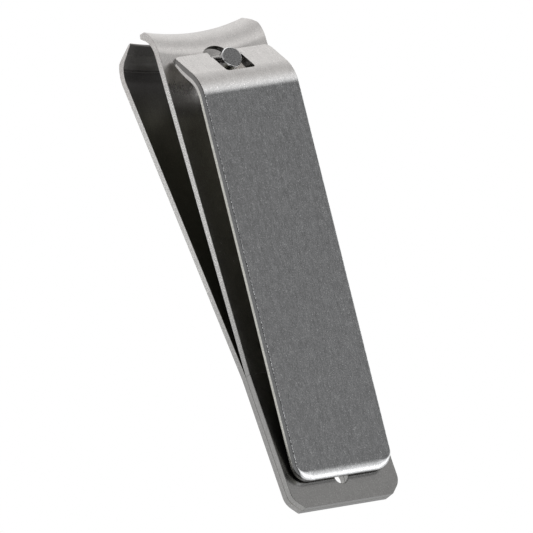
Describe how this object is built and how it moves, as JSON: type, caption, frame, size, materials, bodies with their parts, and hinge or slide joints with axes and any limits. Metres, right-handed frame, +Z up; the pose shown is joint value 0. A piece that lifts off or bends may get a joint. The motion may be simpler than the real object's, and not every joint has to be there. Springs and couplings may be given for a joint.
{
  "type": "nail clipper",
  "caption": "Wide lever nail clipper: two sprung leaves with curled cutting ends and a folding lever on a notched, turning post.",
  "frame": {"origin": "middle of the base of the bounding box, with the clipper lying on a table, folded, lever on top", "axes": "+X along the length towards the cutting edges, +Y to the left, +Z up out of the lever's top face"},
  "size_m": [0.0745, 0.0188, 0.0169],
  "materials": {
    "jaw_steel": "satin stainless steel, ground faces",
    "lever_steel": "stainless steel, brushed lengthways on the plate, satin on the foot",
    "post_steel": "turned and polished steel"
  },
  "bodies": {
    "lower_jaw": {"lower_jaw": "jaw_steel", "upper_jaw_tail": "jaw_steel"},
    "upper_jaw": {"upper_jaw": "jaw_steel"},
    "post": {"post": "post_steel"},
    "lever": {"lever": "lever_steel"}
  },
  "joints": [
    {"name": "jaw_close", "type": "hinge", "parent": "lower_jaw", "child": "upper_jaw", "pos_m": [-0.01602, 0, 0.00255], "axis": [0, 1, 0], "range_deg": [0, 3.2], "stiffness_Nm_per_rad": 13.6},
    {"name": "post_turn", "type": "hinge", "parent": "lower_jaw", "child": "post", "pos_m": [0.02846, 0, 0], "axis": [0, 0, 1], "continuous": true},
    {"name": "lever_lift", "type": "hinge", "parent": "post", "child": "lever", "pos_m": [0.02906, 0, 0.01333], "axis": [0, 1, 0], "range_deg": [0, 158]}
  ]
}
